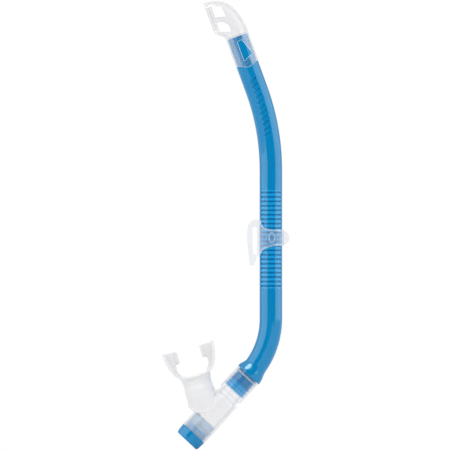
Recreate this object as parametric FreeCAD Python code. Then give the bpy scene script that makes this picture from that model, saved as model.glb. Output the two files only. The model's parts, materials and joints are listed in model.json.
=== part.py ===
"""A swimmer's snorkel: barrel, splash guard, strap keeper, drain chamber, mouthpiece and purge valve.

Row frame: millimetres, +Z up along the barrel's straight stretch. The origin is the middle of the keeper's
flat strap seat, and the barrel's axis stands BARREL_X to its right. The snorkel is mirror-symmetric about the
XZ plane, apart from the plain marks on its front (-Y) side.
Each part is drawn in one of four local frames, all turned about Y: the barrel's own, the guard's (at the
barrel's top end), the chamber's (+Z down its axis, +X towards the mouthpiece) and the mouthpiece's (+Z out
towards the mouth).
"""

import FreeCAD
import Part
import math
import os

V = FreeCAD.Vector

# Barrel
BARREL_X = 13.3            # from the strap seat to the barrel's axis
BARREL_R = 11.0
BORE_R = 9.0
STRAIGHT_TOP = 68.0        # height where the upper bend starts
STRAIGHT_BOTTOM = -76.6    # height where the lower bend starts
UPPER_BEND_R = 226.0
UPPER_BEND = 20.0          # degrees, leaning towards -X
UPPER_STRAIGHT = 55.8      # from the upper bend to the barrel's top end
LOWER_BEND_R = 78.0
LOWER_BEND = 43.0          # degrees, turning towards -X
FLARE_START = 35.0         # degrees round the lower bend where the shoulder's flare begins
FLARE_STEPS = 8
SHOULDER_R = 13.7
SHOULDER_END = 1.4         # past the end of the bend
TOP_SPIGOT_R = 10.0        # under the splash guard's sleeve

# Grooved grip
GROOVE_PITCH = 4.32
GROOVE_COUNT = 22
GROOVE_WIDTH = 1.7
GROOVE_DEPTH = 0.6
GROOVE_REACH = 9.4         # how far the grooves run out to each side
GRIP_MIDDLE = 0.9

# Slanted bars sunk into the upper barrel
BAR_COUNT = 11
BAR_PITCH = 5.4
BAR_FIRST = 103.5          # arc length above the strap seat
BAR_LENGTH = 6.6
BAR_WIDTH = 2.2
BAR_SLANT = 1.4
BAR_DEPTH = 0.5

# Swivel spigot below the shoulder, lengths along the chamber's axis
SPIGOT_R = 10.4
SPIGOT_END = 22.3
RIB_R = 11.43
RIB_HALF_WIDTH = 0.9
RIBS_AT = (9.4, 13.0, 16.6)
SNAP_BEAD_AT = 20.2
SNAP_BEAD_R = 11.75
O_RING_AT = 4.0
O_RING_GROOVE_R = 9.86
O_RING_GROOVE_HALF = 1.1
O_RING_LAND = 0.8          # width of the rib on each side of the groove
O_RING_THICK_R = 0.8

# Splash guard, in the guard frame
SLEEVE_R = 11.4
SLEEVE_FIT = 0.05
EDGE_GAP = 0.15            # between the sleeve's edges and the barrel's raised steps
WAVE = ((-14.0, -27.6), (-8.6, -28.2), (-3.6, -30.2), (0.6, -31.7), (4.8, -30.6), (9.0, -28.8),
        (14.0, -27.8))
KEY_WINDOW = ((-1.8, -4.9, 1.6), (2.9, -4.4, 1.6), (8.3, -20.2, 1.0), (-1.8, -25.2, 0.8))
HOOD_MOUTH_X = -19.7
HOOD_TOP = 41.0
HOOD_LIP = 9.7
HOOD_WALL = 1.5
RIM_THICK = 2.8
RIM_WIDTH = 2.6
LEDGE_THICK = 1.2          # the stop that rests on the barrel's top end
RING_POINTS = 32
# Rows of (floor x, z), (roof x, z), half width, squareness; a squareness of 2 is a plain ellipse.
HOOD_SECTIONS = (
    ((-10.9, -2.0), (10.9, -2.0), 10.9, 2.0),
    ((-11.9, 2.9), (11.2, 8.0), 11.6, 2.1),
    ((-13.6, 4.4), (8.0, 22.4), 11.7, 2.5),
    ((-16.0, 6.5), (0.6, 34.2), 11.6, 3.0),
    ((-18.0, 8.3), (-9.2, 39.6), 11.5, 3.6),
    ((HOOD_MOUTH_X, HOOD_LIP), (HOOD_MOUTH_X, HOOD_TOP), 11.4, 4.0),
)
HOOD_WINDOWS = (
    ((-13.9, 36.4, 0.8), (-4.4, 32.4, 1.6), (-3.4, 21.6, 0.8), (-14.0, 24.4, 0.8)),
    ((-14.2, 19.6, 0.8), (-8.0, 17.8, 1.6), (-3.6, 13.2, 1.6), (-3.8, 5.8, 0.8), (-14.6, 9.6, 0.8)),
)
GRILLE_R = 1.0
GRILLE_AT = 25.4

# Strap keeper; the band's edges are (x, z) from the barrel's axis
KEEPER_BORE_R = 11.08
KEEPER_R = 12.7
KEEPER_LEFT = -13.6
KEEPER_RIGHT = 14.0
BAND_TOP = ((KEEPER_LEFT, 20.2), (-10.4, 17.0), (-7.0, 12.6), (-2.0, 10.5), (5.0, 10.1),
            (KEEPER_RIGHT, 10.0))
BAND_BOTTOM = ((KEEPER_LEFT, -18.0), (-12.2, -15.2), (-9.8, -11.6), (-6.0, -8.4), (-0.5, -6.3), (5.0, -5.5),
               (KEEPER_RIGHT, -5.4))
LIP_HEIGHT = 0.35
LIP_WIDTH = 1.1
MARK_AT = (1.0, 2.4)       # centre of the plain oval on the band
MARK_HALF_HEIGHT = 5.0
MARK_HALF_WIDTH = 3.6
MARK_LINE = 1.1
HOOK_HALF_WIDTH = 6.0
SLOT_GAP = 4.7
FINGER_THICK = 5.0
TAB_R = 6.6
TAB_THICK = 3.6

# Drain chamber, lengths along the chamber's axis from the end of the lower bend
SOCKET_R = 13.1
SOCKET_BORE_R = 11.5
SOCKET_TOP = 1.6
NECK_R = 11.35
NECK_BORE_R = 9.6
COLLAR_END = 26.7
BODY_START = 31.9
BODY_R = 13.0
BODY_WALL = 1.6
PURGE_START = 61.6
PURGE_R = 13.75
PURGE_BORE_R = 12.1
CHAMBER_END = 78.6
BRANCH_AT = 59.5
BRANCH_ANGLE = 58.6        # between the chamber axis and the mouthpiece axis
BRANCH_WALL = 1.5
BRANCH_LENGTH = 26.0
# Ellipses across the branch as (height, half width, half depth), in the mouthpiece's frame
BRANCH_SECTIONS = ((4.0, 8.0, 10.4), (12.0, 9.6, 12.0), (19.0, 10.9, 12.4), (BRANCH_LENGTH, 11.1, 12.2))

# Purge valve
SEAT_END = 68.6
SEAT_BORE_R = 10.9
SEAT_RIM = 1.3             # how far the web's rim reaches in under the membrane
SPOKES = 6
HUB_R = 3.1
HUB_BORE_R = 1.3
MEMBRANE_R = 10.1
MEMBRANE_LIFT = 1.6
CAP_R = 13.85
CAP_END = 88.8
CAP_WALL = 1.1
CAP_CLEARANCE = 3.6        # from the web to the cap's spigot, where the membrane lifts
OUTLETS = 8
PRESS_GAP = 0.05           # the small gap drawn where one part is pressed into another

# Mouthpiece, in its own frame; height runs along its axis from the chamber's axis
MOUTH_TIP = 72.4
MOUTH_HALF_HEIGHT = 14.0
MOUTH_CORNER_R = 11.0
CUFF_SECTIONS = ((3.0, 14.0, 15.2), (21.0, 14.3, 15.2), (28.0, 14.3, 13.9), (36.0, 13.6, 10.8),
                 (43.2, 14.8, 9.2))
PASSAGE_SECTIONS = ((BRANCH_LENGTH, 11.1, 11.2), (35.0, 10.9, 8.2), (46.0, 11.4, 6.2))
CUFF_END_R = 14.6
CUFF_END_AT = (-0.4, 21.4)
CUFF_FIT = 0.05
FLANGE_THICK = 1.9
FLANGE_OUTSIDE = ((0.0, 41.6), (8.0, 42.0), (14.2, 43.8), (18.4, 47.4), (21.6, 52.6), (23.8, 58.8),
                  (25.1, 65.5), (25.7, MOUTH_TIP))
LIP_NOTCH_R = 5.0
BITE_HALF_THICK = 1.7
# One side of the plates between the teeth: round the tongue's side, then back along the flange.
BITE_SIDE = ((9.5, 44.8, 6.0), (16.0, 51.0, 4.0), (15.6, 58.4, 1.0), (11.2, 58.8, 1.0), (11.2, 70.9, 1.5),
             (24.8, 70.9), (22.9, 58.0), (19.2, 50.0), (14.4, 44.9), (8.0, 42.9))
LUG_X = 11.2
LUG_BOTTOM = 59.0
LUG_TOP = 70.7
LUG_HALF_HEIGHT = 4.6
LUG_THICK = 2.6

BEYOND = 60.0              # safely past everything, for cutters


def turned(x, z, degrees):
    """A frame at (x, z) whose +Z leans by degrees from world +Z towards +X, about the Y axis."""
    return FreeCAD.Placement(V(x, 0, z), FreeCAD.Rotation(V(0, 1, 0), degrees))


def upper_bend_point(degrees):
    """A point on the barrel's centre line, degrees round the upper bend."""
    lean = math.radians(degrees)
    x = BARREL_X - UPPER_BEND_R * (1 - math.cos(lean))
    return V(x, 0, STRAIGHT_TOP + UPPER_BEND_R * math.sin(lean))


def bend_point(degrees):
    """A point on the barrel's centre line, degrees round the lower bend."""
    turn = math.radians(degrees)
    x = BARREL_X - LOWER_BEND_R * (1 - math.cos(turn))
    return V(x, 0, STRAIGHT_BOTTOM - LOWER_BEND_R * math.sin(turn))


def guard_frame():
    bend_top = upper_bend_point(UPPER_BEND)
    top = turned(bend_top.x, bend_top.z, -UPPER_BEND).multVec(V(0, 0, UPPER_STRAIGHT))
    return turned(top.x, top.z, -UPPER_BEND)


def chamber_frame():
    end = bend_point(LOWER_BEND)
    return turned(end.x, end.z, 180 + LOWER_BEND)


def mouth_frame():
    root = chamber_frame().multVec(V(0, 0, BRANCH_AT))
    return turned(root.x, root.z, LOWER_BEND - BRANCH_ANGLE)


def placed(shape, frame):
    moved = shape.copy()
    moved.Placement = frame.multiply(shape.Placement)
    return moved


def corner_arc(before, here, after, radius):
    """Start, middle and end of the arc that rounds the corner at here."""
    back = (before - here).normalize()
    ahead = (after - here).normalize()
    half = back.getAngle(ahead) / 2
    cut = radius / math.tan(half)
    middle = here + (back + ahead).normalize() * (radius / math.sin(half) - radius)
    return here + back * cut, middle, here + ahead * cut


def outline(corners):
    """A face in the XZ plane from rows of (x, z) or (x, z, corner radius)."""
    points = [V(row[0], 0, row[1]) for row in corners]
    count = len(points)
    starts, stops, edges = [], [], []
    for i, row in enumerate(corners):
        radius = row[2] if len(row) > 2 else 0
        if radius:
            start, middle, stop = corner_arc(points[i - 1], points[i], points[(i + 1) % count], radius)
            edges.append(Part.Arc(start, middle, stop).toShape())
        else:
            start = stop = points[i]
        starts.append(start)
        stops.append(stop)
    for i in range(count):
        if stops[i - 1].distanceToPoint(starts[i]) > 1e-6:
            edges.append(Part.makeLine(stops[i - 1], starts[i]))
    return Part.Face(Part.Wire(Part.__sortEdges__(edges)))


def prism(face, half_depth):
    """An XZ face pushed out to both sides of the mirror plane."""
    solid = face.extrude(V(0, 2 * half_depth, 0))
    solid.translate(V(0, -half_depth, 0))
    return solid


def revolved(corners):
    """A solid of revolution about local +Z from (radius, z) or (radius, z, corner radius) rows."""
    return outline(corners).revolve(V(0, 0, 0), V(0, 0, 1), 360)


def tube(inner, outer, bottom, top):
    return Part.makeCylinder(outer, top - bottom, V(0, 0, bottom)).cut(
        Part.makeCylinder(inner, top - bottom, V(0, 0, bottom)))


def smooth_line(points):
    """A spline edge in the XZ plane through (x, z) points."""
    curve = Part.BSplineCurve()
    curve.interpolate([V(x, 0, z) for x, z in points])
    return curve.toShape()


def between(lower, upper):
    """The XZ face between two smooth lines, closed by straight sides at their ends."""
    left = Part.makeLine(V(lower[0][0], 0, lower[0][1]), V(upper[0][0], 0, upper[0][1]))
    right = Part.makeLine(V(lower[-1][0], 0, lower[-1][1]), V(upper[-1][0], 0, upper[-1][1]))
    return Part.Face(Part.Wire(Part.__sortEdges__([smooth_line(lower), left, smooth_line(upper), right])))


def barrel_axis():
    return turned(BARREL_X, 0, 0)


# The barrel

def straight_lengths():
    """The barrel's straight part as short lines: one for each grip groove, so that each gets a face of its own."""
    lowest = GRIP_MIDDLE - GROOVE_COUNT * GROOVE_PITCH / 2
    heights = [STRAIGHT_BOTTOM] + [lowest + i * GROOVE_PITCH for i in range(GROOVE_COUNT + 1)] + [STRAIGHT_TOP]
    stops = [V(BARREL_X, 0, height) for height in reversed(heights)]
    return [Part.makeLine(above, below) for above, below in zip(stops, stops[1:])]


def barrel_path(end_degrees, tail=0.0):
    """The barrel's centre line from its top end down round the lower bend, then straight on by tail."""
    top = guard_frame().Base
    bend_top = upper_bend_point(UPPER_BEND)
    straight_top, straight_bottom = V(BARREL_X, 0, STRAIGHT_TOP), V(BARREL_X, 0, STRAIGHT_BOTTOM)
    half, end = bend_point(end_degrees / 2), bend_point(end_degrees)
    edges = [
        Part.makeLine(top, bend_top),
        Part.Arc(bend_top, upper_bend_point(UPPER_BEND / 2), straight_top).toShape(),
        *straight_lengths(),
        Part.Arc(straight_bottom, half, end).toShape(),
    ]
    if tail:
        turn = math.radians(end_degrees)
        edges.append(Part.makeLine(end, end + V(-math.sin(turn), 0, -math.cos(turn)) * tail))
    return Part.Wire(edges)


def pipe(path, radius, start):
    """A round bar along path, which begins at the guard frame."""
    across = guard_frame().Rotation.multVec(V(0, 0, 1))
    ring = Part.Wire(Part.makeCircle(radius, start, across))
    return path.makePipeShell([ring], True, False)


def shoulder_flare():
    """The barrel swells smoothly to the shoulder over the last degrees of the lower bend."""
    steps = 8
    rings = []
    for i in range(steps + 1):
        share = i / steps
        swell = share * share * (3 - 2 * share)
        degrees = FLARE_START + share * (LOWER_BEND - FLARE_START)
        turn = math.radians(degrees)
        along = V(-math.sin(turn), 0, -math.cos(turn))
        radius = BARREL_R + swell * (SHOULDER_R - BARREL_R)
        rings.append(Part.Wire(Part.makeCircle(radius, bend_point(degrees), along)))
    return Part.makeLoft(rings, True, False)


def raised_ring(at, half_width, land, radius):
    """A ring with sloping sides round the spigot; land is half the width of its flat top."""
    return revolved([
        (BORE_R, at - half_width), (SPIGOT_R, at - half_width), (radius, at - land, 0.2),
        (radius, at + land, 0.2), (SPIGOT_R, at + half_width), (BORE_R, at + half_width),
    ])


def swivel_spigot():
    """Shoulder land, O-ring groove, sealing ribs and snap bead that plug into the chamber's socket."""
    spigot = revolved([
        (BORE_R, -0.2), (SHOULDER_R, -0.2), (SHOULDER_R, SHOULDER_END, 0.5), (SPIGOT_R, SHOULDER_END),
        (SPIGOT_R, SPIGOT_END, 0.6), (BORE_R, SPIGOT_END, 0.4),
    ])
    for at in RIBS_AT:
        spigot = spigot.fuse(raised_ring(at, RIB_HALF_WIDTH, 0.4, RIB_R))
    spigot = spigot.fuse(raised_ring(SNAP_BEAD_AT, 1.1, 0.25, SNAP_BEAD_R))
    half = O_RING_GROOVE_HALF
    spigot = spigot.fuse(tube(BORE_R, RIB_R, O_RING_AT - half - O_RING_LAND, O_RING_AT + half + O_RING_LAND))
    groove = tube(O_RING_GROOVE_R, SOCKET_R, O_RING_AT - half, O_RING_AT + half)
    return placed(spigot.cut(groove), chamber_frame())


def grip_grooves():
    """Grooves across the barrel's front and back; they stop short of its sides."""
    lowest = GRIP_MIDDLE - ((GROOVE_COUNT - 1) * GROOVE_PITCH + GROOVE_WIDTH) / 2
    ring = tube(BARREL_R - GROOVE_DEPTH, BARREL_R + 2, 0, GROOVE_WIDTH)
    reach = Part.makeBox(2 * GROOVE_REACH, BEYOND, BEYOND, V(-GROOVE_REACH, -BEYOND / 2, -BEYOND / 2))
    groove = ring.common(reach)
    cutters = []
    for i in range(GROOVE_COUNT):
        cutter = groove.copy()
        cutter.translate(V(BARREL_X, 0, lowest + i * GROOVE_PITCH))
        cutters.append(cutter)
    return Part.makeCompound(cutters)


def path_frame(length):
    """The frame on the barrel's axis at an arc length above the strap seat."""
    past = length - STRAIGHT_TOP
    degrees = min(UPPER_BEND, math.degrees(past / UPPER_BEND_R))
    on_bend = upper_bend_point(degrees)
    rest = past - math.radians(degrees) * UPPER_BEND_R
    here = turned(on_bend.x, on_bend.z, -degrees).multVec(V(0, 0, rest))
    return turned(here.x, here.z, -degrees)


def engraved_bars():
    """A row of plain slanted bars, sunk into the front of the upper barrel."""
    half_length, half_width = BAR_LENGTH / 2, BAR_WIDTH / 2
    bar = outline([
        (-half_length, -half_width - BAR_SLANT, 0.6), (half_length, -half_width + BAR_SLANT, 0.6),
        (half_length, half_width + BAR_SLANT, 0.6), (-half_length, half_width - BAR_SLANT, 0.6),
    ])
    bars = []
    for i in range(BAR_COUNT):
        frame = path_frame(BAR_FIRST + i * BAR_PITCH)
        block = bar.extrude(V(0, -2 * BARREL_R, 0))
        core = Part.makeCylinder(BARREL_R - BAR_DEPTH, 4 * BAR_WIDTH, V(0, 0, -2 * BAR_WIDTH))
        bars.append(placed(block.cut(core), frame))
    return bars


def above_wave(gap):
    """Everything above the sleeve's wavy lower edge, moved down by gap, in the guard frame."""
    lower = [(x, z - gap) for x, z in WAVE]
    level = [(x, BEYOND) for x, z in WAVE]
    return prism(between(lower, level), BEYOND)


def window_keys():
    """The two raised pads that fill the sleeve's windows and lock the guard on."""
    ring = tube(TOP_SPIGOT_R - 0.5, BARREL_R + 0.1, -27, -3)
    shrunk = outline(KEY_WINDOW).makeOffset2D(-EDGE_GAP)
    return ring.common(prism(shrunk, BEYOND))


def main_tube():
    path = barrel_path(FLARE_START)
    top = guard_frame().Base
    body = pipe(path, BARREL_R, top)
    recess = placed(tube(TOP_SPIGOT_R, BARREL_R + 2, -40, 5).common(above_wave(EDGE_GAP)), guard_frame())
    body = body.cut(recess).cut(grip_grooves()).cut(Part.makeCompound(engraved_bars()))
    body = body.fuse(placed(window_keys(), guard_frame()))
    body = body.fuse(shoulder_flare()).fuse(swivel_spigot())
    bore = pipe(barrel_path(LOWER_BEND, SPIGOT_END + 1), BORE_R, top)
    return body.cut(bore)


def swivel_o_ring():
    centre_r = O_RING_GROOVE_R + 0.02 + O_RING_THICK_R
    return placed(Part.makeTorus(centre_r, O_RING_THICK_R, V(0, 0, O_RING_AT)), chamber_frame())


# The splash guard

def squared_ring(floor, roof, half_width, squareness):
    """A closed curve across the hood from a floor point to a roof point: a superellipse."""
    centre, up = (floor + roof) * 0.5, (roof - floor) * 0.5
    points = []
    for i in range(RING_POINTS):
        turn = 2 * math.pi * i / RING_POINTS
        across, rise = math.cos(turn), math.sin(turn)
        reach = (abs(across) ** squareness + abs(rise) ** squareness) ** (-1 / squareness)
        points.append(centre + up * rise * reach + V(0, half_width * across * reach, 0))
    curve = Part.BSplineCurve()
    curve.interpolate(Points=points, PeriodicFlag=True)
    return Part.Wire(curve.toShape())


def hood_block(inset):
    """The hood's bulk, drawn inwards by inset: a duct that bends from the sleeve round to the mouth."""
    rings = []
    for floor, roof, half_width, squareness in HOOD_SECTIONS:
        low, high = V(floor[0], 0, floor[1]), V(roof[0], 0, roof[1])
        step = (high - low).normalize() * inset
        rings.append(squared_ring(low + step, high - step, half_width - inset, squareness))
    return Part.makeLoft(rings, True, False)


def mouth_opening():
    """The hole in the hood's mouth, narrower than the inside so that a rim is left."""
    start = HOOD_MOUTH_X - 3
    low, high = V(start, 0, HOOD_LIP + RIM_WIDTH), V(start, 0, HOOD_TOP - RIM_WIDTH)
    opening = squared_ring(low, high, SLEEVE_R - RIM_WIDTH, 4.0)
    return Part.Face(opening).extrude(V(RIM_THICK + 6, 0, 0))


def splash_guard():
    """A sleeve that grips the barrel's top, and a hood that turns the air inlet to face forwards."""
    sleeve = Part.makeCylinder(SLEEVE_R, 41.5, V(0, 0, -40)).common(above_wave(0))
    room = Part.makeBox(BEYOND, BEYOND, BEYOND, V(HOOD_MOUTH_X + RIM_THICK, -BEYOND / 2, LEDGE_THICK))
    body = hood_block(0).fuse(sleeve).cut(hood_block(HOOD_WALL).common(room)).cut(mouth_opening())
    body = body.cut(Part.makeCylinder(TOP_SPIGOT_R + SLEEVE_FIT, BEYOND, V(0, 0, -BEYOND)))
    body = body.cut(Part.makeCylinder(BORE_R, 10, V(0, 0, -5)))
    for window in HOOD_WINDOWS + (KEY_WINDOW,):
        body = body.cut(prism(outline(window), BEYOND))
    reach = SLEEVE_R - HOOD_WALL
    grille_bar = Part.makeCylinder(GRILLE_R, 2 * reach, V(HOOD_MOUTH_X + 1.3, -reach, GRILLE_AT), V(0, 1, 0))
    return placed(body.fuse(grille_bar), guard_frame())


# The strap keeper

def band_face(inset):
    """The band seen from the front; inset draws its long edges in towards its middle."""
    lower = [(x - inset / 2, z + inset) for x, z in BAND_BOTTOM]
    upper = [(x - inset / 2, z - inset) for x, z in BAND_TOP]
    return between(lower, upper)


def keeper_mark():
    """A plain upright oval line, as a cutter that reaches the front only."""
    x, z = MARK_AT
    faces = []
    for trim in (0, MARK_LINE):
        tall, wide = V(x, 0, z + MARK_HALF_HEIGHT - trim), V(x + MARK_HALF_WIDTH - trim, 0, z)
        faces.append(Part.Face(Part.Wire(Part.Ellipse(tall, wide, V(x, 0, z)).toShape())))
    return faces[0].cut(faces[1]).extrude(V(0, -BEYOND, 0))


def keeper_band():
    """A ring round the barrel whose edges sweep out towards the hook; its lips and an oval stand proud."""
    ring = tube(KEEPER_BORE_R, KEEPER_R + LIP_HEIGHT, -25, 25)
    sunk = tube(KEEPER_R, KEEPER_R + LIP_HEIGHT + 2, -25, 25).common(prism(band_face(LIP_WIDTH), BEYOND))
    band = ring.common(prism(band_face(0), BEYOND)).cut(sunk.cut(keeper_mark()))
    return placed(band, barrel_axis())


def keeper_hook():
    """The flat strap seat, the bridge over its top, and the finger with its barbed tip."""
    finger_in, finger_out = -SLOT_GAP, -SLOT_GAP - FINGER_THICK
    seat = outline([(0, -13.2, 0.6), (4, -13.2), (4, 17.5), (0, 17.5)])
    hook = outline([
        (4.0, 19.6, 1.2), (finger_out + 1.4, 19.6, 8.0), (finger_out - 0.5, 2.0, 40),
        (finger_out + 1.6, -14.0, 8), (finger_out + 2.4, -24.4, 1.2), (-3.2, -24.4, 1.2), (-0.7, -18.6, 1.0),
        (-0.5, -14.6, 0.6), (finger_in + 1.0, -13.6, 0.8), (finger_in + 0.1, -8.0, 6), (finger_in, 12.9, 2.2),
        (0.0, 12.9, 1.6), (0.0, 11.0), (4.0, 11.0),
    ])
    body = prism(hook, HOOK_HALF_WIDTH).fuse(prism(seat, HOOK_HALF_WIDTH + 1))
    return body.cut(placed(Part.makeCylinder(KEEPER_BORE_R, BEYOND, V(0, 0, -BEYOND / 2)), barrel_axis()))


def keeper_tab():
    """A half-round thumb tab opposite the hook."""
    middle = (BAND_TOP[-1][1] + BAND_BOTTOM[-1][1]) / 2
    corner = V(BARREL_X + KEEPER_R - 1.5, -TAB_THICK / 2, middle)
    disc = Part.makeCylinder(TAB_R, TAB_THICK, corner, V(0, 1, 0))
    rounded = disc.makeFillet(0.8, [edge for edge in disc.Edges if edge.Curve.TypeId == "Part::GeomCircle"])
    return rounded.cut(placed(Part.makeCylinder(KEEPER_R - 0.6, BEYOND, V(0, 0, -BEYOND / 2)), barrel_axis()))


def strap_keeper():
    return keeper_band().fuse(keeper_hook()).fuse(keeper_tab())


# The drain chamber

def branch_sections(offset):
    """The branch's ellipses, grown by offset."""
    return [(height, width + offset, depth + offset) for height, width, depth in BRANCH_SECTIONS]


def ellipse_loft(sections):
    rings = []
    for height, half_width, half_depth in sections:
        if half_width >= half_depth:
            curve = Part.Ellipse(V(half_width, 0, height), V(0, half_depth, height), V(0, 0, height))
        else:
            curve = Part.Ellipse(V(0, half_depth, height), V(-half_width, 0, height), V(0, 0, height))
        rings.append(Part.Wire(curve.toShape()))
    return Part.makeLoft(rings, True, False)


def chamber_outside(grow):
    """Collar, neck, body and purge end as one turned block, grown by grow."""
    neck_r, socket_r, body_r, purge_r = NECK_R + grow, SOCKET_R + grow, BODY_R + grow, PURGE_R + grow
    return revolved([
        (0, SOCKET_TOP), (socket_r, SOCKET_TOP, 0.5), (socket_r, COLLAR_END, 0.6),
        (neck_r, COLLAR_END + 0.6, 0.6), (neck_r, BODY_START - 0.6, 0.6), (body_r, BODY_START, 0.6),
        (purge_r, PURGE_START),
        (purge_r, CHAMBER_END, 0.4), (0, CHAMBER_END),
    ])


def chamber_inside():
    """Everything inside the chamber: the swivel's socket, the neck, the body and the purge valve's seat."""
    step = SPIGOT_END + 0.5
    return revolved([
        (0, SOCKET_TOP - 1), (SOCKET_BORE_R, SOCKET_TOP - 1), (SOCKET_BORE_R, step), (NECK_BORE_R, step),
        (NECK_BORE_R, BODY_START), (BODY_R - BODY_WALL, BODY_START + 1.8, 0.8),
        (PURGE_BORE_R - 0.5, PURGE_START - 0.1), (PURGE_BORE_R, PURGE_START - 0.1),
        (PURGE_BORE_R, CHAMBER_END + 1), (0, CHAMBER_END + 1),
    ])


def snap_groove():
    """The groove inside the socket where the spigot's snap bead turns."""
    return tube(SOCKET_BORE_R - 0.5, SNAP_BEAD_R + 0.12, SNAP_BEAD_AT - 1.2, SNAP_BEAD_AT + 1.4)


def branch_frame():
    """The mouthpiece's frame, seen from the chamber's."""
    return turned(0, BRANCH_AT, 180 - BRANCH_ANGLE)


def drain_chamber():
    inner = branch_sections(-BRANCH_WALL)
    end = BRANCH_SECTIONS[-1]
    mouth = (BRANCH_LENGTH + 0.5, end[1] - BRANCH_WALL, end[2] - BRANCH_WALL)
    duct = ellipse_loft([(3.0, 6.4, 8.8)] + inner[1:-1] + [mouth])
    body = chamber_outside(0).fuse(placed(ellipse_loft(branch_sections(0)), branch_frame()))
    body = body.cut(chamber_inside()).cut(placed(duct, branch_frame())).cut(snap_groove())
    return placed(body.removeSplitter(), chamber_frame())


# The purge valve

def purge_seat():
    """A sleeve that lines the chamber's end, with a spoked web across it; the membrane closes on the web."""
    fit_r = PURGE_BORE_R - PRESS_GAP
    seat = tube(SEAT_BORE_R, fit_r, PURGE_START + 0.1, CHAMBER_END - 0.4)
    seat = seat.fuse(tube(MEMBRANE_R - SEAT_RIM, SEAT_BORE_R + 0.2, SEAT_END - 2.0, SEAT_END))
    seat = seat.fuse(tube(HUB_BORE_R, HUB_R, SEAT_END - 2.2, SEAT_END))
    for i in range(SPOKES):
        spoke = Part.makeBox(MEMBRANE_R - HUB_R, 1.3, 1.8, V(HUB_R - 0.5, -0.65, SEAT_END - 1.9))
        spoke.rotate(V(0, 0, 0), V(0, 0, 1), 360 / SPOKES * i)
        seat = seat.fuse(spoke)
    return placed(seat.removeSplitter(), chamber_frame())


def purge_membrane():
    """A mushroom valve: thin disc, stem through the hub and a bulb that keeps it there."""
    under = SEAT_END + 0.02
    bulb_bottom = SEAT_END - 2.3 - MEMBRANE_LIFT
    disc = revolved([
        (0, under), (MEMBRANE_R, under), (MEMBRANE_R, under + 0.5, 0.2), (4.0, under + 0.7, 6.0),
        (2.0, under + 1.4, 0.6), (0, under + 1.4),
    ])
    stem = Part.makeCylinder(HUB_BORE_R - 0.1, under - bulb_bottom + 0.5, V(0, 0, bulb_bottom))
    bulb_end = bulb_bottom - 2.6
    bulb = revolved([(0, bulb_end), (1.0, bulb_end, 0.5), (1.9, bulb_bottom, 0.4), (0, bulb_bottom)])
    return placed(disc.fuse(stem).fuse(bulb).removeSplitter(), chamber_frame())


def outlet_slot():
    """A round-ended slot through the cap's floor, lying along +X."""
    half = 1.3
    low, high = CAP_END - 3, CAP_END + 1
    slot = prism(outline([(4.2, low), (9.6, low), (9.6, high), (4.2, high)]), half)
    upright = [edge for edge in slot.Edges if abs(edge.tangentAt(edge.FirstParameter).z) > 0.99]
    return slot.makeFillet(half - 0.1, upright)


def purge_cap():
    """The end cap: a spigot that presses into the seat's sleeve, a skirt, and a floor with outlet slots."""
    top = SEAT_END + CAP_CLEARANCE
    fit_r = SEAT_BORE_R - PRESS_GAP
    shell = revolved([
        (fit_r - CAP_WALL, top), (fit_r, top, 0.3), (fit_r, CHAMBER_END + 0.1),
        (CAP_R, CHAMBER_END + 0.1, 0.4), (CAP_R - 0.5, CAP_END - 3.0, 4.0), (CAP_R - 1.3, CAP_END, 1.6),
        (0, CAP_END), (0, CAP_END - 2.0), (fit_r - 0.6, CAP_END - 2.0, 1.0), (fit_r - CAP_WALL, CHAMBER_END),
    ])
    for i in range(OUTLETS):
        slot = outlet_slot()
        slot.rotate(V(0, 0, 0), V(0, 0, 1), 360 / OUTLETS * (i + 0.5))
        shell = shell.cut(slot)
    return placed(shell.removeSplitter(), chamber_frame())


# The mouthpiece

def mirrored(half):
    """Rows from the left end to the right end, given the right half outwards from the middle."""
    left = [(-row[0],) + tuple(row[1:]) for row in reversed(half)]
    if half[0][0] == 0:
        left.pop()
    return left + list(half)


def bent_sheet():
    """A sheet of even thickness bent round the dental arch."""
    outside = [V(x, 0, z) for x, z in mirrored(FLANGE_OUTSIDE)]
    outer, inner = Part.BSplineCurve(), Part.BSplineCurve()
    outer.interpolate(outside)
    inside = []
    for point in outside:
        along = outer.tangent(outer.parameter(point))[0]
        inside.append(point + V(-along.z, 0, along.x) * FLANGE_THICK)
    inner.interpolate(inside)
    ends = [Part.makeLine(outside[-1], inside[-1]), Part.makeLine(inside[0], outside[0])]
    wire = Part.Wire(Part.__sortEdges__([outer.toShape(), inner.toShape()] + ends))
    return prism(Part.Face(wire), MOUTH_HALF_HEIGHT)


def lip_flange():
    """The bent sheet with its far corners rounded and a notch above and below for the folds of the lips."""
    half = MOUTH_HALF_HEIGHT
    trim = outline([
        (-half, 40, 1), (half, 40, 1), (half, MOUTH_TIP, MOUTH_CORNER_R), (-half, MOUTH_TIP, MOUTH_CORNER_R),
    ])
    trim.rotate(V(0, 0, 0), V(0, 0, 1), 90)
    trim.translate(V(-BEYOND, 0, 0))
    sheet = bent_sheet().common(trim.extrude(V(2 * BEYOND, 0, 0)))
    for side in (-1, 1):
        sheet = sheet.cut(Part.makeCylinder(LIP_NOTCH_R, BEYOND, V(0, side * (half + LIP_NOTCH_R / 2), 20)))
    return sheet


def bite_plates():
    """The plates between the teeth, each ending in an upright lug behind them."""
    plates = prism(outline(mirrored(BITE_SIDE)), BITE_HALF_THICK)
    for side in (-1, 1):
        near, far = side * LUG_X, side * (LUG_X + LUG_THICK)
        corners = ((near, LUG_BOTTOM), (far, LUG_BOTTOM), (far, LUG_TOP), (near, LUG_TOP))
        lug = outline([(x, z, 0.8) for x, z in corners])
        plates = plates.fuse(prism(lug, LUG_HALF_HEIGHT))
    return plates


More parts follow.
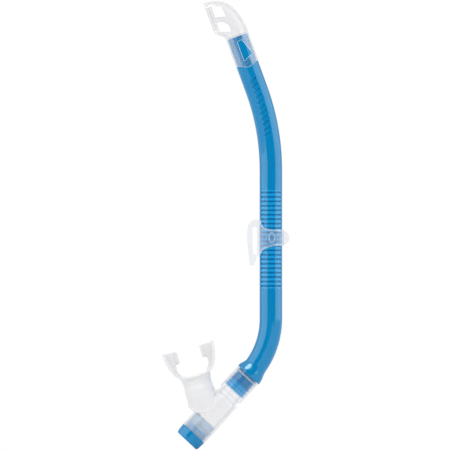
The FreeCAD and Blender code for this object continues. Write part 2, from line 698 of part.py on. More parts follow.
def cuff_end():
    """The cuff's round lower end, seen from the side."""
    x, z = CUFF_END_AT
    disc = Part.makeCylinder(CUFF_END_R, BEYOND, V(x, -BEYOND / 2, z), V(0, 1, 0))
    return disc.fuse(Part.makeBox(BEYOND, BEYOND, BEYOND, V(x - BEYOND / 2, -BEYOND / 2, z + 1.0)))


def mouthpiece():
    """A cuff that slips over the chamber's branch, an oval passage, the lip flange and two bite plates."""
    body = ellipse_loft(CUFF_SECTIONS).common(cuff_end()).fuse(lip_flange()).fuse(bite_plates())
    body = body.cut(ellipse_loft(branch_sections(CUFF_FIT))).cut(ellipse_loft(PASSAGE_SECTIONS))
    chamber = placed(chamber_outside(CUFF_FIT), branch_frame().inverse())
    return placed(body.cut(chamber), mouth_frame())


PARTS = {
    "main_tube": main_tube,
    "splash_guard": splash_guard,
    "strap_keeper": strap_keeper,
    "swivel_o_ring": swivel_o_ring,
    "drain_chamber": drain_chamber,
    "mouthpiece": mouthpiece,
    "purge_seat": purge_seat,
    "purge_membrane": purge_membrane,
    "purge_cap": purge_cap,
}

if __name__ == "__main__":
    os.makedirs("parts", exist_ok=True)
    for name, build in PARTS.items():
        shape = build()
        print(name, "valid", shape.isValid(), "solids", len(shape.Solids), "volume", round(shape.Volume, 1))
        shape.Solids[0].exportStep(f"parts/{name}.step")
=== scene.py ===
"""The snorkel's looks.

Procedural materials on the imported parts, a soft silicone mouthpiece in place of the CAD one, and a white
light-tent studio seen straight from the front."""

import json
import math
from collections import namedtuple

import bmesh
import bpy
from mathutils import Matrix, Vector


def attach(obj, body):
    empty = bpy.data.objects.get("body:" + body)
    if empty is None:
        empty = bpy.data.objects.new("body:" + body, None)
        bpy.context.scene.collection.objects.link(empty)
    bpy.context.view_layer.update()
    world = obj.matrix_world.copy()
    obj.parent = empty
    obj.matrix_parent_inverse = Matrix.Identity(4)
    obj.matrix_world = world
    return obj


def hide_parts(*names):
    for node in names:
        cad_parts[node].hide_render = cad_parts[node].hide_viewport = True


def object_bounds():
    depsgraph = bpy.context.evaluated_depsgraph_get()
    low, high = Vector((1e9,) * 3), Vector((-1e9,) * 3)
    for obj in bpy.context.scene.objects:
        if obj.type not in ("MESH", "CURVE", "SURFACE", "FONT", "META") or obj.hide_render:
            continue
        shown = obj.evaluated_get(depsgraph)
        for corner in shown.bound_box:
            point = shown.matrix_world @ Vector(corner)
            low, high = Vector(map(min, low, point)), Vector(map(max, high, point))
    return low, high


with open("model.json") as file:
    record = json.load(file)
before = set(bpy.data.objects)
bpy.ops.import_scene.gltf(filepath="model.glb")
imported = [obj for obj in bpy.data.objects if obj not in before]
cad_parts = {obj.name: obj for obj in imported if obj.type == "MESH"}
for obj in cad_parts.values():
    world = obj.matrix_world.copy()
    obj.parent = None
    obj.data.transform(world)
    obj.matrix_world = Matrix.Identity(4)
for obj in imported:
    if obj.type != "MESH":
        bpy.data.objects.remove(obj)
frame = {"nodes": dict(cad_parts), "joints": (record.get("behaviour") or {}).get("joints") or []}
first_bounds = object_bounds()

MM = 0.001

# The barrel, in metres of the row frame
BARREL_TOP = Vector((-19.41, 0, 197.72)) * MM
TOP_LEAN = math.radians(20)
BARREL_TOP_AXIS = Vector((-math.sin(TOP_LEAN), 0, math.cos(TOP_LEAN)))
SPIGOT_LENGTH = 22.8 * MM          # the blue spigot inside the chamber's collar
SHOULDER_END = 1.6 * MM            # where the shoulder ends and the spigot starts
GRIP_MIDDLE = 0.9 * MM
GROOVE_PITCH = 4.32 * MM
GRIP_HALF_LENGTH = 11 * GROOVE_PITCH
SIDE_START = 3.0 * MM              # a tube's side reaches this far to the front and back,
SIDE_END = 6.5 * MM                # and its front and its back start here

# The mouthpiece's place in the row frame, in millimetres, and its lean towards -X
MOUTH_ROOT = Vector((-48.23, 0.0, -173.31))
MOUTH_LEAN = math.radians(-15.6)

# The mouthpiece, in millimetres of its own frame: +Z out of the mouth end, X across the teeth and Y from lip
# to lip. The cuff's rows are (height, half width, half depth).
CUFF_OUTSIDE = ((3.0, 13.9, 15.1), (21.0, 14.2, 15.1), (28.0, 14.3, 13.8), (36.0, 13.6, 10.8),
                (43.2, 14.8, 9.2))
CUFF_INSIDE = ((4.0, 8.1, 10.5), (12.0, 9.7, 12.1), (19.0, 11.0, 12.5), (26.0, 11.2, 12.3),
               (35.0, 10.9, 8.2), (44.0, 11.4, 6.4))
CUFF_TOP = 43.6
CUFF_EDGE = (14.1, 15.1)           # half width and half depth at the lower edge
CUFF_END_R = 14.6                  # the lower edge's round end, seen from the side
CUFF_END_X = -0.4
CUFF_END_Z = 21.4
CHAMBER_R = 13.05                  # the chamber's wall, which the lower edge rests on
BRANCH_ANGLE = math.radians(58.6)  # between the mouthpiece and the chamber
BEAD_R = 1.6
BEAD_INSET = 0.9
BEAD_LIFT = 0.4
ARCH = ((0.0, 41.6), (8.0, 42.0), (14.2, 43.8), (18.4, 47.4), (21.6, 52.6), (23.8, 58.8), (25.1, 65.5),
        (25.7, 72.2))              # half of the dental arch, as X and Z
FLANGE_THICK = 1.9
FLANGE_HALF_LENGTH = 45.6
FLANGE_HALF_HEIGHT = 14.0
FLANGE_END_POWER = 0.62            # below 1, these square up the flange's outline
FLANGE_SIDE_POWER = 0.5
NOTCH_DEPTH = 3.0
NOTCH_WIDTH = 5.5
PASSAGE_HALF_WIDTH = 11.4
PASSAGE_HALF_HEIGHT = 6.6
RIM_R = 1.35
RIM_INSET = 0.9
BITE_TOP = 70.9
BITE_LOW = 58.8
BITE_INNER = 11.3
BITE_CORNER = 0.6
BITE_HALF_THICK = 1.7
LUG_WIDTH = 2.6
LUG_HALF_HEIGHT = 4.6
LUG_LOW = 59.2
LUG_TOP = 70.6

# How finely the mouthpiece is made
AROUND = 120
CUFF_LEVELS = 30
FLANGE_LEVELS = 40
BEAD_SIDES = 14
RIM_SIDES = 10
ARCH_STEPS = 24
VOXEL = 0.42
SMOOTHINGS = 6

# Plastics: (R, G, B) colours, and reaches in metres
BARREL_BLUES = ((0.0, 0.238, 0.545), (0.0, 0.256, 0.575))
# The spigot's blues are a lighter copy of the barrel's: painted light on the tube inside the clear collar
LIT_SPIGOT_BLUES = ((0.0, 0.41, 0.83), (0.0, 0.43, 0.86))
# Painted shade: the dark blue laid into the barrel's grip grooves
GROOVE_SHADE_BLUE = (0.0, 0.085, 0.29)
# Painted highlight: the light blue laid on the grip's crests and on the blue plastic's sharp edges
HIGHLIGHT_BLUE = (0.02, 0.46, 0.96)
BLUE_MIRROR = (0.74, 1.0, 1.0)
CREST_HIGHLIGHT_SHARE = 0.6
BLUE_IOR = 1.6
SILICONE_IOR = 1.41
GROOVE_REACH = 1.6 * MM            # how far round a point the plastic's own faces are looked for, to paint shade in its grooves
LIT_EDGE = 1.0 * MM                # how far from a sharp edge blue plastic gets a painted highlight
CLEAR_EDGE = 0.9 * MM              # how far from a sharp edge clear plastic gets its painted edge colour
CLEAR_PASSING = (0.968, 0.968, 0.973)
MIRRORED_FACE_ON = 0.015
MIRRORED_EDGE_ON = 0.9
BUMP_HEIGHT = 0.4 * MM

# How milky clear plastic looks: from `low` where it faces the eye to `high` where it turns away, between the
# turns `start` and `end`, which is partly haze and partly painted light and shade, and `edge` on its sharp
# edges, which carry the painted edge colour
Milk = namedtuple("Milk", "start end low high edge")

# Light strengths, with the white backdrop at 1, and angles in degrees off each light's axis
GAP_LIGHT = 0.02
SIDE_LIGHT = 2.1
REAR_LIGHT = 0.6
LAMP_LIGHT = 9.0
BACKDROP_LIGHT = 1.0
SHADED_SIDE = 0.3                  # what is left of the side boxes' light high up and low down
GAP_TURN = math.radians(5.5)
GAP_EDGE = (39.5, 44.5)
SIDE_EDGE = (100, 122)
LAMP_EDGE = (13, 17)
BACKDROP_EDGE = (8, 16)
BOX_HEIGHTS = (60, 35)             # degrees above and below the horizon
LAMP_AT = (-0.17, -0.43, 0.89)

# Floor and camera, in metres
FLOOR_R = 4.0
FLOOR_DROP = 0.4 * MM
FLOOR_GREYS = ((0.86, 0.86, 0.86), (0.88, 0.88, 0.88))
CAMERA_AT = (-0.0312, -1.5, 0.0147)
CAMERA_SPAN = 0.4365


# The mouthpiece

def row_at(rows, z):
    """Half width and half depth at height z, smoothly between rows of (height, half width, half depth)."""
    if z <= rows[0][0]:
        return rows[0][1:]
    for (z0, a0, b0), (z1, a1, b1) in zip(rows, rows[1:]):
        if z <= z1:
            t = (z - z0) / (z1 - z0)
            t = t * t * (3 - 2 * t)
            return a0 + (a1 - a0) * t, b0 + (b1 - b0) * t
    return rows[-1][1:]


def catmull_value(v0, v1, v2, v3, t):
    """One coordinate of a Catmull-Rom curve, t of the way from v1 to v2."""
    linear = (v2 - v0) * t
    square = (2 * v0 - 5 * v1 + 4 * v2 - v3) * t * t
    cube = (3 * v1 - v0 - 3 * v2 + v3) * t ** 3
    return 0.5 * (2 * v1 + linear + square + cube)


def catmull(points, steps):
    """Points along a Catmull-Rom curve through the given 2-D points."""
    ends = [points[0]] + list(points) + [points[-1]]
    out = []
    for i in range(1, len(ends) - 2):
        near = ends[i - 1:i + 3]
        for k in range(steps):
            out.append(tuple(catmull_value(*(p[axis] for p in near), k / steps) for axis in (0, 1)))
    out.append(points[-1])
    return out


class Arch:
    """The dental arch: a curve in XZ measured by arc length from its middle."""

    def __init__(self):
        mirrored = [(-x, z) for x, z in reversed(ARCH[1:])] + list(ARCH)
        self.points = catmull(mirrored, ARCH_STEPS)
        self.lengths = [0.0]
        for a, b in zip(self.points, self.points[1:]):
            self.lengths.append(self.lengths[-1] + math.dist(a, b))
        self.half = self.lengths[-1] / 2

    def at(self, u, lift, y):
        """The point u along the arch, lifted towards the mouth by lift."""
        want = min(max(u + self.half, 0.0), self.lengths[-1] - 1e-6)
        low, high = 0, len(self.lengths) - 1
        while high - low > 1:
            mid = (low + high) // 2
            if self.lengths[mid] <= want:
                low = mid
            else:
                high = mid
        (x0, z0), (x1, z1) = self.points[low], self.points[high]
        span = self.lengths[high] - self.lengths[low]
        t = (want - self.lengths[low]) / span
        dx, dz = (x1 - x0) / span, (z1 - z0) / span
        return Vector((x0 + (x1 - x0) * t - dz * lift, y, z0 + (z1 - z0) * t + dx * lift))


def turns(count=AROUND):
    """Angles once round a circle."""
    return [2 * math.pi * i / count for i in range(count)]


def cuff_edge(turn):
    """Height of the cuff's lower edge: a round end seen from the side, kept off the chamber's wall."""
    half_width, half_depth = CUFF_EDGE
    x, y = half_width * math.cos(turn), half_depth * math.sin(turn)
    round_end = CUFF_END_Z - math.sqrt(max(CUFF_END_R ** 2 - (x - CUFF_END_X) ** 2, 0.0))
    reach = math.sqrt(max((CHAMBER_R + BEAD_R - BEAD_LIFT) ** 2 - y * y, 0.0))
    off_wall = (math.cos(BRANCH_ANGLE) * x + reach) / math.sin(BRANCH_ANGLE)
    return max(round_end, off_wall)


def closed_grid(mesh, rings):
    """Quads between closed rings of points; the last ring joins back to the first."""
    rows = [[mesh.verts.new(p) for p in ring] for ring in rings]
    count = len(rows[0])
    for a, b in zip(rows, rows[1:] + rows[:1]):
        for i in range(count):
            j = (i + 1) % count
            mesh.faces.new((a[i], a[j], b[j], b[i]))


def cuff_ring(rows, share):
    """One level of the cuff's skin, share of the way from its lower edge to its top."""
    ring = []
    for turn in turns():
        z = cuff_edge(turn) * (1 - share) + CUFF_TOP * share
        half_width, half_depth = row_at(rows, z)
        ring.append((half_width * math.cos(turn), half_depth * math.sin(turn), z))
    return ring


def add_cuff(mesh):
    """The cuff and neck: an outer and an inner skin from the lower edge up to the flange."""
    shares = [k / CUFF_LEVELS for k in range(CUFF_LEVELS + 1)]
    outer = [cuff_ring(CUFF_OUTSIDE, share) for share in shares]
    inner = [cuff_ring(CUFF_INSIDE, share) for share in shares]
    closed_grid(mesh, outer + inner[::-1])


def add_bead(mesh):
    """The thick rounded bead round the cuff's lower edge."""
    rings = []
    for angle in turns(BEAD_SIDES):
        out = BEAD_R * math.cos(angle) - BEAD_INSET
        ring = []
        for turn in turns():
            z = cuff_edge(turn) + BEAD_LIFT
            half_width, half_depth = row_at(CUFF_OUTSIDE, z)
            ring.append(((half_width + out) * math.cos(turn), (half_depth + out) * math.sin(turn),
                         z + BEAD_R * math.sin(angle)))
        rings.append(ring)
    closed_grid(mesh, rings)


def flange_edge(turn):
    """The flange's rim in the unrolled sheet: a rounded bow with a notch above and below the middle."""
    c, s = math.cos(turn), math.sin(turn)
    u = FLANGE_HALF_LENGTH * math.copysign(abs(c) ** FLANGE_END_POWER, c)
    v = FLANGE_HALF_HEIGHT * math.copysign(abs(s) ** FLANGE_SIDE_POWER, s)
    notch = NOTCH_DEPTH * math.exp(-(u / NOTCH_WIDTH) ** 2)
    return u, v * (1 - notch / FLANGE_HALF_HEIGHT)


def add_flange(mesh, arch):
    """The lip flange: a sheet bent round the arch, with the passage through its middle."""
    back, front = [], []
    for k in range(FLANGE_LEVELS + 1):
        share = k / FLANGE_LEVELS
        low, high = [], []
        for turn in turns():
            u0, v0 = PASSAGE_HALF_WIDTH * math.cos(turn), PASSAGE_HALF_HEIGHT * math.sin(turn)
            u1, v1 = flange_edge(turn)
            u, v = u0 + (u1 - u0) * share, v0 + (v1 - v0) * share
            low.append(arch.at(u, 0.0, v))
            high.append(arch.at(u, FLANGE_THICK, v))
        back.append(low)
        front.append(high)
    closed_grid(mesh, back + front[::-1])


def add_rim(mesh, arch):
    """A soft bead that thickens the flange's rim."""
    rings = []
    for angle in turns(RIM_SIDES):
        ring = []
        for turn in turns():
            u, v = flange_edge(turn)
            inward = 1 - (RIM_INSET - RIM_R * math.cos(angle)) / max(math.hypot(u, v), 1)
            ring.append(arch.at(u * inward, FLANGE_THICK / 2 + RIM_R * math.sin(angle), v * inward))
        rings.append(ring)
    closed_grid(mesh, rings)


def add_prism(mesh, outline, half_height):
    """A closed slab from an XZ outline, half_height to each side of the middle."""
    near = [mesh.verts.new((x, -half_height, z)) for x, z in outline]
    far = [mesh.verts.new((x, half_height, z)) for x, z in outline]
    mesh.faces.new(near)
    mesh.faces.new(far[::-1])
    for i in range(len(outline)):
        j = (i + 1) % len(outline)
        mesh.faces.new((near[j], near[i], far[i], far[j]))


def add_bites(mesh):
    """On each side a plate for the teeth with the web that ties it to the flange, and an upright lug."""
    inner, corner = BITE_INNER, BITE_CORNER
    plate = [(inner, BITE_TOP - corner), (inner, BITE_LOW + corner), (inner + corner, BITE_LOW),
             (15.6, 58.4), (16.0, 53.0), (14.6, 49.4), (12.2, 46.2), (14.4, 44.9), (19.2, 50.0), (22.9, 58.0),
             (24.8, BITE_TOP), (inner + corner, BITE_TOP)]
    lug = [(inner, LUG_LOW), (inner + LUG_WIDTH, LUG_LOW), (inner + LUG_WIDTH, LUG_TOP), (inner, LUG_TOP)]
    for side in (-1, 1):
        add_prism(mesh, [(side * x, z) for x, z in plate], BITE_HALF_THICK)
        add_prism(mesh, [(side * x, z) for x, z in lug], LUG_HALF_HEIGHT)


def mouth_matrix():
    """From the mouthpiece's own millimetres to metres of the row frame."""
    turn = Matrix.Rotation(MOUTH_LEAN, 4, "Y")
    return Matrix.Translation(MOUTH_ROOT * MM) @ turn @ Matrix.Scale(MM, 4)


def moulded(name, mesh):
    """One soft moulding from overlapping closed pieces: joined by a remesh, then smoothed like rubber."""
    bmesh.ops.recalc_face_normals(mesh, faces=mesh.faces)
    pieces = bpy.data.meshes.new(name)
    mesh.to_mesh(pieces)
    mesh.free()
    moulding = bpy.data.objects.new(name, pieces)
    bpy.context.scene.collection.objects.link(moulding)
    remesh = moulding.modifiers.new("join", "REMESH")
    remesh.mode = "VOXEL"
    remesh.voxel_size = VOXEL
    smooth = moulding.modifiers.new("soften", "SMOOTH")
    smooth.factor = 0.5
    smooth.iterations = SMOOTHINGS
    evaluated = moulding.evaluated_get(bpy.context.evaluated_depsgraph_get())
    joined = bpy.data.meshes.new_from_object(evaluated)
    moulding.modifiers.clear()
    moulding.data = joined
    bpy.data.meshes.remove(pieces)
    for face in joined.polygons:
        face.use_smooth = True
    joined.name = name
    return moulding


def build_mouthpiece(material):
    """The soft mouthpiece, which rides on the chamber in place of the CAD one."""
    arch = Arch()
    mesh = bmesh.new()
    add_cuff(mesh)
    add_flange(mesh, arch)
    add_rim(mesh, arch)
    add_bead(mesh)
    add_bites(mesh)
    piece = moulded("soft_mouthpiece", mesh)
    piece.data.transform(mouth_matrix())
    piece.data.materials.append(material)
    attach(piece, "chamber")
    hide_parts("mouthpiece")


# Nodes that the materials and the studio share

def new_material(name):
    material = bpy.data.materials.new(name)
    material.use_nodes = True
    shader = material.node_tree.nodes["Principled BSDF"]
    return material, material.node_tree, shader


def feed(tree, socket, value):
    """Links an input to another node's output, or sets it to a number or an (R, G, B) colour."""
    if isinstance(value, bpy.types.NodeSocket):
        tree.links.new(value, socket)
    elif isinstance(value, tuple):
        socket.default_value = (*value, 1)
    else:
        socket.default_value = value


def noise(tree, scale, detail=3.0):
    place = tree.nodes.new("ShaderNodeTexCoord")
    texture = tree.nodes.new("ShaderNodeTexNoise")
    texture.inputs["Scale"].default_value = scale
    texture.inputs["Detail"].default_value = detail
    tree.links.new(place.outputs["Object"], texture.inputs["Vector"])
    return texture.outputs["Fac"]


def ramp(tree, value, start, end, low=0.0, high=1.0):
    """Maps start to end onto low to high, and holds the ends."""
    node = tree.nodes.new("ShaderNodeMapRange")
    node.inputs["From Min"].default_value = start
    node.inputs["From Max"].default_value = end
    node.inputs["To Min"].default_value = low
    node.inputs["To Max"].default_value = high
    tree.links.new(value, node.inputs["Value"])
    return node.outputs["Result"]


def spread(tree, value, low=0.0, high=1.0):
    """Maps the range that most noise falls in onto low to high."""
    return ramp(tree, value, 0.3, 0.7, low, high)


def opposite(tree, share):
    return ramp(tree, share, 0.0, 1.0, 1.0, 0.0)


def math_node(tree, operation, first, second=0.0):
    node = tree.nodes.new("ShaderNodeMath")
    node.operation = operation
    feed(tree, node.inputs[0], first)
    feed(tree, node.inputs[1], second)
    return node.outputs["Value"]


def mix_colours(tree, share, first, second):
    node = tree.nodes.new("ShaderNodeMix")
    node.data_type = "RGBA"
    feed(tree, node.inputs["A"], first)
    feed(tree, node.inputs["B"], second)
    tree.links.new(share, node.inputs["Factor"])
    return node.outputs["Result"]


def mix_shaders(tree, share, first, second):
    node = tree.nodes.new("ShaderNodeMixShader")
    tree.links.new(share, node.inputs["Fac"])
    tree.links.new(first, node.inputs[1])
    tree.links.new(second, node.inputs[2])
    return node.outputs["Shader"]


def bump(tree, shader, value, strength):
    """Bumps the shader's surface and returns the bumped normal."""
    node = tree.nodes.new("ShaderNodeBump")
    node.inputs["Strength"].default_value = strength
    node.inputs["Distance"].default_value = BUMP_HEIGHT
    tree.links.new(value, node.inputs["Height"])
    tree.links.new(node.outputs["Normal"], shader.inputs["Normal"])
    return node.outputs["Normal"]


def object_place(tree):
    """Where a point of the surface is, in metres of the row frame: sockets X, Y and Z."""
    place = tree.nodes.new("ShaderNodeTexCoord")
    parts = tree.nodes.new("ShaderNodeSeparateXYZ")
    tree.links.new(place.outputs["Object"], parts.inputs["Vector"])
    return parts.outputs


def light_path(tree, kind):
    return tree.nodes.new("ShaderNodeLightPath").outputs[kind]


def cavity(tree, reach):
    """0 deep in a groove, 1 on open faces; only the object's own faces count."""
    node = tree.nodes.new("ShaderNodeAmbientOcclusion")
    node.samples = 8
    node.only_local = True
    node.inputs["Distance"].default_value = reach
    return ramp(tree, node.outputs["AO"], 0.62, 0.88)


def near_edge(tree, radius):
    """1 within a radius of a sharp edge, 0 on open faces."""
    bevel = tree.nodes.new("ShaderNodeBevel")
    bevel.samples = 16
    bevel.inputs["Radius"].default_value = radius
    geometry = tree.nodes.new("ShaderNodeNewGeometry")
    agree = tree.nodes.new("ShaderNodeVectorMath")
    agree.operation = "DOT_PRODUCT"
    tree.links.new(bevel.outputs["Normal"], agree.inputs[0])
    tree.links.new(geometry.outputs["Normal"], agree.inputs[1])
    return ramp(tree, agree.outputs["Value"], 0.975, 0.88)


def facing_away(tree):
    """0 where a surface squarely faces the eye, 1 where it turns edge on."""
    weight = tree.nodes.new("ShaderNodeLayerWeight")
    weight.inputs["Blend"].default_value = 0.5
    return weight.outputs["Facing"]


# Materials

def off_the_sides(tree):
    """0 along the sides of an upright tube, 1 on its front and back, where painted groove shade and crest
    highlights go.
    """
    away = math_node(tree, "ABSOLUTE", object_place(tree)["Y"])
    return ramp(tree, away, SIDE_START, SIDE_END)


def grip_crest_highlights(tree):
    """How strong the painted highlight on the crests between the barrel's grip grooves is; 0 in the grooves
    and beyond the grip.
    """
    height = math_node(tree, "SUBTRACT", object_place(tree)["Z"], GRIP_MIDDLE)
    wave = math_node(tree, "COSINE", math_node(tree, "MULTIPLY", height, 2 * math.pi / GROOVE_PITCH))
    crests = ramp(tree, wave, 0.15, 1.0, 0.0, CREST_HIGHLIGHT_SHARE)
    reach = math_node(tree, "ABSOLUTE", height)
    within = ramp(tree, reach, GRIP_HALF_LENGTH, GRIP_HALF_LENGTH + 0.5 * MM, 1.0, 0.0)
    return math_node(tree, "MULTIPLY", crests, within)


def blue_pvc(name, blues):
    """Glossy blue plastic: slow colour drift from moulding, fine scuffs, painted groove shade, painted
    highlights.
    """
    material, tree, shader = new_material(name)
    body = mix_colours(tree, spread(tree, noise(tree, 18.0)), *blues)
    front = off_the_sides(tree)
    # open_face is 1 on open faces and on the tube's sides; deeper in the grooves at front and back it paints
    # shade
    open_face = math_node(tree, "MAXIMUM", cavity(tree, GROOVE_REACH), opposite(tree, front))
    edges = math_node(tree, "MULTIPLY", near_edge(tree, LIT_EDGE), open_face)
    # lit is the painted highlight: on sharp edges, and on the grip's crests at front and back
    lit = math_node(tree, "MAXIMUM", edges, math_node(tree, "MULTIPLY", grip_crest_highlights(tree), front))
    shaded = mix_colours(tree, open_face, GROOVE_SHADE_BLUE, body)
    tree.links.new(mix_colours(tree, lit, shaded, HIGHLIGHT_BLUE), shader.inputs["Base Color"])
    tree.links.new(spread(tree, noise(tree, 220.0, 6.0), 0.05, 0.11), shader.inputs["Roughness"])
    # The painted groove shade also dims the grooves' mirroring
    tree.links.new(ramp(tree, open_face, 0.0, 1.0, 0.1, 0.5), shader.inputs["Specular IOR Level"])
    shader.inputs["IOR"].default_value = BLUE_IOR
    feed(tree, shader.inputs["Specular Tint"], BLUE_MIRROR)
    bump(tree, shader, noise(tree, 90.0), 0.06)
    return material


def milky_share(tree, milk):
    """How much of a clear wall's own milky body shows: least face on, most on its sharp edges, where the edge
    colour is painted on.

    It doesn't dim the light that reaches what lies beneath."""
    turning = ramp(tree, facing_away(tree), milk.start, milk.end, milk.low, milk.high)
    turning.node.interpolation_type = "SMOOTHSTEP"
    edges = ramp(tree, near_edge(tree, CLEAR_EDGE), 0.0, 1.0, 0.0, milk.edge)
    share = math_node(tree, "MAXIMUM", turning, edges)
    return math_node(tree, "MULTIPLY", share, opposite(tree, light_path(tree, "Is Diffuse Ray")))


def clear_skin(tree, roughness, normal):
    """The see-through part of clear plastic: light passes straight through, and grazing light is mirrored."""
    passing = tree.nodes.new("ShaderNodeBsdfTransparent")
    feed(tree, passing.inputs["Color"], CLEAR_PASSING)
    mirror = tree.nodes.new("ShaderNodeBsdfGlossy")
    feed(tree, mirror.inputs["Color"], (1, 1, 1))
    tree.links.new(roughness, mirror.inputs["Roughness"])
    tree.links.new(normal, mirror.inputs["Normal"])
    grazing = math_node(tree, "POWER", facing_away(tree), 5.0)
    mirrored = ramp(tree, grazing, 0.0, 1.0, MIRRORED_FACE_ON, MIRRORED_EDGE_ON)
    return mix_shaders(tree, mirrored, passing.outputs["BSDF"], mirror.outputs["BSDF"])


def clear(name, tint, painted_edge_colour, scuffs, milk):
    """Thin clear plastic: a skin that light passes through, over a faintly milky body with painted light and
    shade on its edges.
    """
    material, tree, shader = new_material(name)
    body = mix_colours(tree, spread(tree, noise(tree, 30.0)), tint, tuple(c * 0.97 for c in tint))
    # Sharp edges take the edge colour: a painted highlight on most parts, painted shade on the hard
    # polycarbonate
    colour = mix_colours(tree, near_edge(tree, CLEAR_EDGE), body, painted_edge_colour)
    tree.links.new(colour, shader.inputs["Base Color"])
    roughness = spread(tree, noise(tree, 160.0, 5.0), *scuffs)
    tree.links.new(roughness, shader.inputs["Roughness"])
    normal = bump(tree, shader, noise(tree, 60.0), 0.08)
    skin = clear_skin(tree, roughness, normal)
    whole = mix_shaders(tree, milky_share(tree, milk), skin, shader.outputs["BSDF"])
    tree.links.new(whole, tree.nodes["Material Output"].inputs["Surface"])
    return material


def silicone():
    """Soft milky silicone with a dull sheen."""
    material, tree, shader = new_material("clear_silicone")
    colour = mix_colours(tree, spread(tree, noise(tree, 45.0)), (0.90, 0.90, 0.91), (0.88, 0.88, 0.89))
    tree.links.new(colour, shader.inputs["Base Color"])
    tree.links.new(spread(tree, noise(tree, 160.0, 5.0), 0.30, 0.40), shader.inputs["Roughness"])
    shader.inputs["IOR"].default_value = SILICONE_IOR
    shader.inputs["Specular IOR Level"].default_value = 0.25
    bump(tree, shader, noise(tree, 70.0), 0.12)
    return material


def seal_rubber():
    material, tree, shader = new_material("seal_rubber")
    colour = mix_colours(tree, spread(tree, noise(tree, 120.0)), (0.50, 0.62, 0.72), (0.56, 0.68, 0.78))
    tree.links.new(colour, shader.inputs["Base Color"])
    tree.links.new(spread(tree, noise(tree, 300.0), 0.35, 0.5), shader.inputs["Roughness"])
    return material


def clear_polycarbonate():
    """The hard, colourless plastic of the hood and the chamber."""
    # Its edges are painted darker than its body: painted shade
    return clear("clear_polycarbonate", (0.84, 0.845, 0.86), (0.66, 0.66, 0.68), (0.02, 0.05),
                 Milk(0.25, 1.0, 0.04, 0.34, 0.6))


def clear_sleeve():
    """The hood's sleeve, which takes on the blue of the tube beneath it."""
    return clear("clear_sleeve", (0.86, 0.92, 0.99), (0.90, 1.0, 1.0), (0.02, 0.05),
                 Milk(0.05, 0.16, 0.03, 0.18, 1.0))


def clear_collar():
    """The chamber's collar over the blue spigot."""
    return clear("clear_collar", (0.86, 0.90, 0.95), (0.86, 0.97, 1.0), (0.02, 0.05),
                 Milk(0.1, 1.0, 0.02, 0.3, 0.6))


def pale_blue_insert():
    """The purge valve's seat."""
    return clear("pale_blue_insert", (0.54, 0.75, 0.93), (0.86, 0.97, 1.0), (0.05, 0.10),
                 Milk(0.1, 1.0, 0.30, 0.55, 0.9))


def clear_polyurethane():
    """The strap keeper's flexible plastic."""
    return clear("clear_polyurethane", (0.70, 0.82, 0.97), (0.92, 1.0, 1.0), (0.08, 0.14),
                 Milk(0.05, 0.5, 0.09, 0.22, 1.0))


# Which piece is made of what

def dress(node, material):
    mesh = frame["nodes"][node].data
    mesh.materials.clear()
    mesh.materials.append(material)


def dress_beyond(node, material, start, direction):
    """Gives a second material to the faces that lie beyond a plane."""
    mesh = frame["nodes"][node].data
    mesh.materials.append(material)
    for face in mesh.polygons:
        if (face.center - start).dot(direction) > 0:
            face.material_index = 1


def swivel_line():
    """The barrel's lower end, and the direction from it back up into the barrel."""
    swivel = next(joint for joint in frame["joints"] if joint["name"] == "chamber_swivel")
    return Vector(swivel["pos_m"]), -Vector(swivel["axis"])


def dress_all(soft):
    """Materials for every CAD piece; soft is the silicone that the membrane shares with the mouthpiece."""
    blue = blue_pvc("blue_pvc", BARREL_BLUES)
    hard = clear_polycarbonate()
    barrel_end, upward = swivel_line()
    # A lighter, lit copy of the blue for the spigot inside the clear collar: painted light
    lit_blue = blue_pvc("lit_blue_pvc", LIT_SPIGOT_BLUES)
    dress("main_tube", blue)
    dress_beyond("main_tube", lit_blue, barrel_end - upward * SHOULDER_END, -upward)
    dress("purge_cap", blue)
    dress("splash_guard", hard)
    dress_beyond("splash_guard", clear_sleeve(), BARREL_TOP, -BARREL_TOP_AXIS)
    dress("drain_chamber", hard)
    dress_beyond("drain_chamber", clear_collar(), barrel_end - upward * SPIGOT_LENGTH, upward)
    dress("strap_keeper", clear_polyurethane())
    dress("swivel_o_ring", seal_rubber())
    dress("purge_seat", pale_blue_insert())
    dress("purge_membrane", soft)


# Studio

def towards(tree, place, direction):
    """How nearly a ray points along a direction: 1 straight along it."""
    node = tree.nodes.new("ShaderNodeVectorMath")
    node.operation = "DOT_PRODUCT"
    node.inputs[1].default_value = direction
    tree.links.new(place, node.inputs[0])
    return node.outputs["Value"]


def degrees_step(tree, facing, edge, inside, outside):
    """Light that goes from inside to outside as rays turn from edge[0] to edge[1] degrees off an axis."""
    near, far = (math.cos(math.radians(angle)) for angle in edge)
    return ramp(tree, facing, near, far, inside, outside)


def side_boxes(tree, place, front):
    """Soft boxes at both sides, brightest at eye height."""
    sides = degrees_step(tree, front, SIDE_EDGE, SIDE_LIGHT - REAR_LIGHT, 0.0)
    height = math_node(tree, "ABSOLUTE", towards(tree, place, (0, 0, 1)))
    high, low = (math.sin(math.radians(angle)) for angle in BOX_HEIGHTS)
    return math_node(tree, "MULTIPLY", sides, ramp(tree, height, high, low, SHADED_SIDE, 1.0))


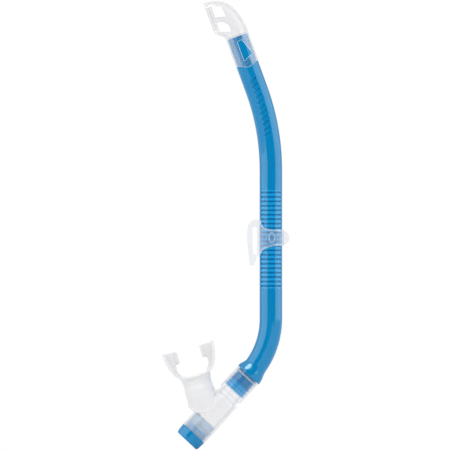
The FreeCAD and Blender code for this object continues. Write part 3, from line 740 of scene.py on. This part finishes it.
def mirrored_light(tree):
    """What shiny surfaces mirror: soft boxes at both sides, a lamp overhead and a dim camera gap."""
    place = tree.nodes.new("ShaderNodeTexCoord").outputs["Generated"]
    front = towards(tree, place, (math.sin(GAP_TURN), -math.cos(GAP_TURN), 0))
    around = math_node(tree, "ADD", side_boxes(tree, place, front), REAR_LIGHT)
    gap = degrees_step(tree, front, GAP_EDGE, GAP_LIGHT, 1.0)
    lamp = degrees_step(tree, towards(tree, place, LAMP_AT), LAMP_EDGE, LAMP_LIGHT, 0.0)
    behind = towards(tree, place, (0, 1, 0))
    backdrop = degrees_step(tree, behind, BACKDROP_EDGE, BACKDROP_LIGHT - REAR_LIGHT, 0.0)
    shining = math_node(tree, "MULTIPLY", around, gap)
    return math_node(tree, "ADD", math_node(tree, "ADD", shining, lamp), backdrop)


def tent():
    """Even white light from all round; only mirrored rays see the lamps."""
    world = bpy.data.worlds.new("tent")
    bpy.context.scene.world = world
    world.use_nodes = True
    world.cycles.sampling_method = "NONE"
    tree = world.node_tree
    seen = tree.nodes.new("ShaderNodeMix")
    seen.inputs["A"].default_value = BACKDROP_LIGHT
    tree.links.new(mirrored_light(tree), seen.inputs["B"])
    tree.links.new(light_path(tree, "Is Glossy Ray"), seen.inputs["Factor"])
    background = tree.nodes["Background"]
    tree.links.new(seen.outputs["Result"], background.inputs["Strength"])
    feed(tree, background.inputs["Color"], (1, 1, 1))


def floor(height):
    material, tree, shader = new_material("pale_floor")
    colour = mix_colours(tree, spread(tree, noise(tree, 3.0)), *FLOOR_GREYS)
    tree.links.new(colour, shader.inputs["Base Color"])
    shader.inputs["Roughness"].default_value = 0.9
    mesh = bmesh.new()
    bmesh.ops.create_circle(mesh, cap_ends=True, segments=96, radius=FLOOR_R)
    data = bpy.data.meshes.new("floor")
    mesh.to_mesh(data)
    mesh.free()
    data.materials.append(material)
    plane = bpy.data.objects.new("floor", data)
    plane.location = (0, 0, height)
    bpy.context.scene.collection.objects.link(plane)


def camera():
    """Square on to the front, without perspective, framed to the snorkel's height."""
    data = bpy.data.cameras.new("camera")
    data.type = "ORTHO"
    data.ortho_scale = CAMERA_SPAN
    eye = bpy.data.objects.new("camera", data)
    eye.location = CAMERA_AT
    eye.rotation_euler = (math.pi / 2, 0, 0)
    bpy.context.scene.collection.objects.link(eye)
    bpy.context.scene.camera = eye


soft_silicone = silicone()
dress_all(soft_silicone)
build_mouthpiece(soft_silicone)
tent()
floor(first_bounds[0].z - FLOOR_DROP)
camera()
bpy.context.scene.view_settings.view_transform = "Standard"
bpy.context.scene.cycles.transparent_max_bounces = 32
